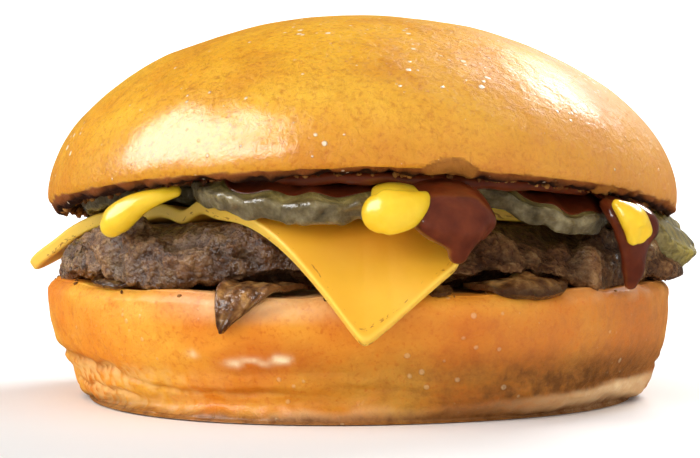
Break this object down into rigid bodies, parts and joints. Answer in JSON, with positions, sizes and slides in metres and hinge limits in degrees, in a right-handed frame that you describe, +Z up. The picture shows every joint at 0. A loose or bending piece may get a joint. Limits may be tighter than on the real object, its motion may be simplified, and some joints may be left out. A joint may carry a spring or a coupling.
{
  "type": "hamburger",
  "caption": "Hamburger: glossy bun, beef patty, square cheese slice with a corner hanging over the front, crinkle-cut pickles, fried onion, ketchup and mustard.",
  "frame": {"origin": "centre of the bun's flat underside, where the burger stands", "axes": "+Z up through the middle of the bun; -Y is the front, where the corner of the cheese hangs"},
  "size_m": [0.1194, 0.1157, 0.066],
  "materials": {
    "bun_crust": "glossy baked crust",
    "beef": "seared, slightly greasy",
    "cheddar": "soft satin",
    "pickle": "wet",
    "ketchup": "wet gloss",
    "mustard": "wet gloss",
    "fried_onion": "oily"
  },
  "bodies": {
    "root": {"bun_crown": "bun_crust", "bun_heel": "bun_crust", "patty": "beef", "cheese_slice": "cheddar", "pickle_front_left": "pickle", "pickle_front_right": "pickle", "pickle_right": "pickle", "pickle_left": "pickle", "pickle_back_right": "pickle", "pickle_back_left": "pickle", "ketchup_spread": "ketchup", "ketchup_front": "ketchup", "ketchup_right": "ketchup", "ketchup_back": "ketchup", "mustard_front": "mustard", "mustard_left": "mustard", "mustard_right": "mustard", "mustard_back": "mustard", "onion_left": "fried_onion", "onion_front": "fried_onion", "onion_middle": "fried_onion", "onion_right": "fried_onion", "onion_back_right": "fried_onion", "onion_back_left": "fried_onion"}
  },
  "joints": []
}
